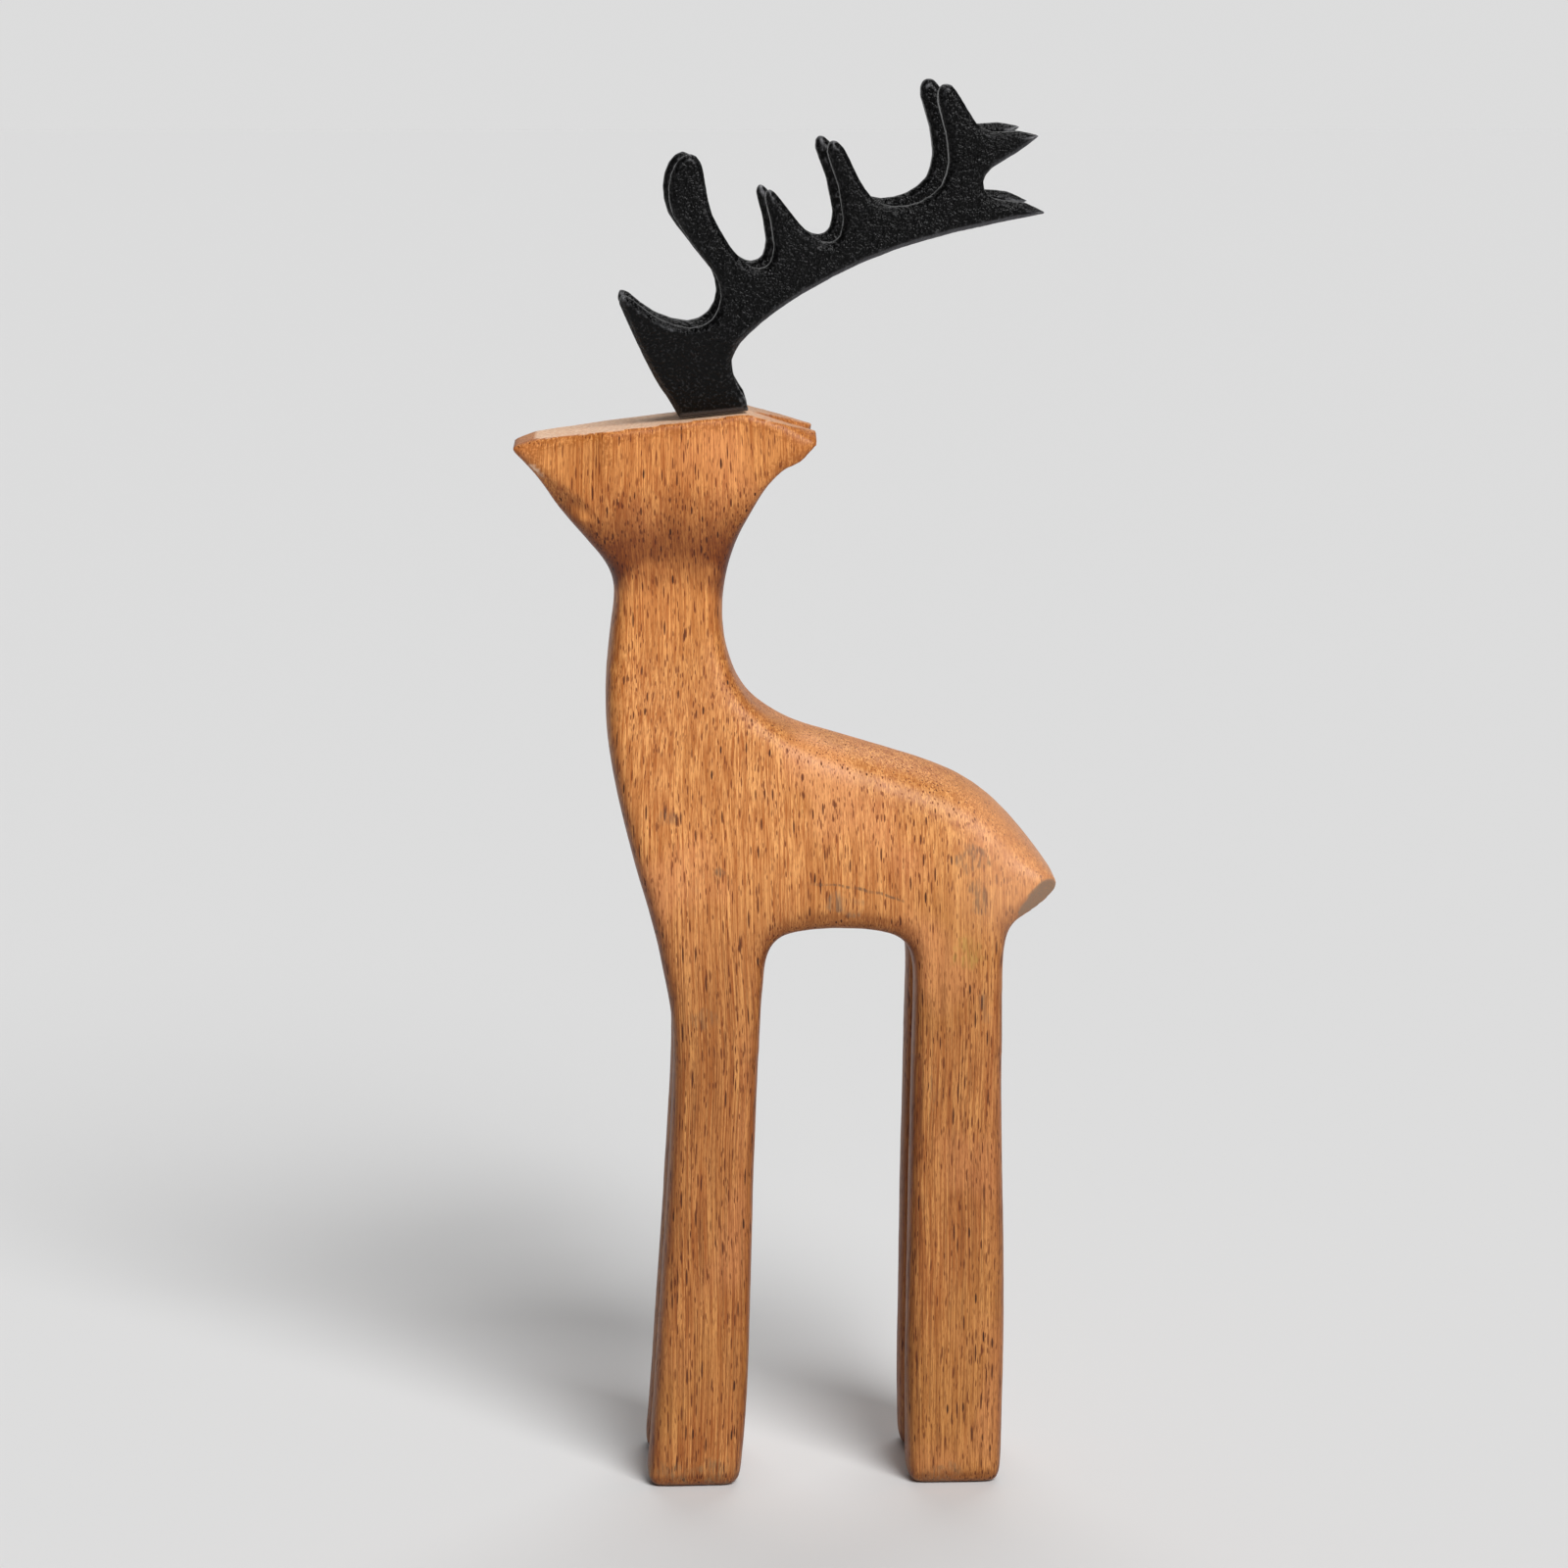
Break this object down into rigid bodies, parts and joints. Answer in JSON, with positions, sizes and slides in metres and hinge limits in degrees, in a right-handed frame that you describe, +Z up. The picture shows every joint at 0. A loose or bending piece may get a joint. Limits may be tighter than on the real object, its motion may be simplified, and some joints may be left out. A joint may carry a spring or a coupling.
{
  "type": "deer figurine",
  "caption": "Standing wooden deer figurine with a flat-topped head, long straight legs and a pair of flat black cast-metal antlers.",
  "frame": {"origin": "middle of the bounding box, at the level of the soles of the feet", "axes": "+Z is up; the deer looks along -X; its left side is -Y"},
  "size_m": [0.1398, 0.0454, 0.3658],
  "materials": {
    "wood": "orange-brown hardwood, sanded and lightly oiled, with dark pores",
    "black_metal": "sand-cast aluminium painted semi-gloss black over the casting texture"
  },
  "bodies": {
    "root": {"wooden_body": "wood", "antler_left": "black_metal", "antler_right": "black_metal"}
  },
  "joints": []
}
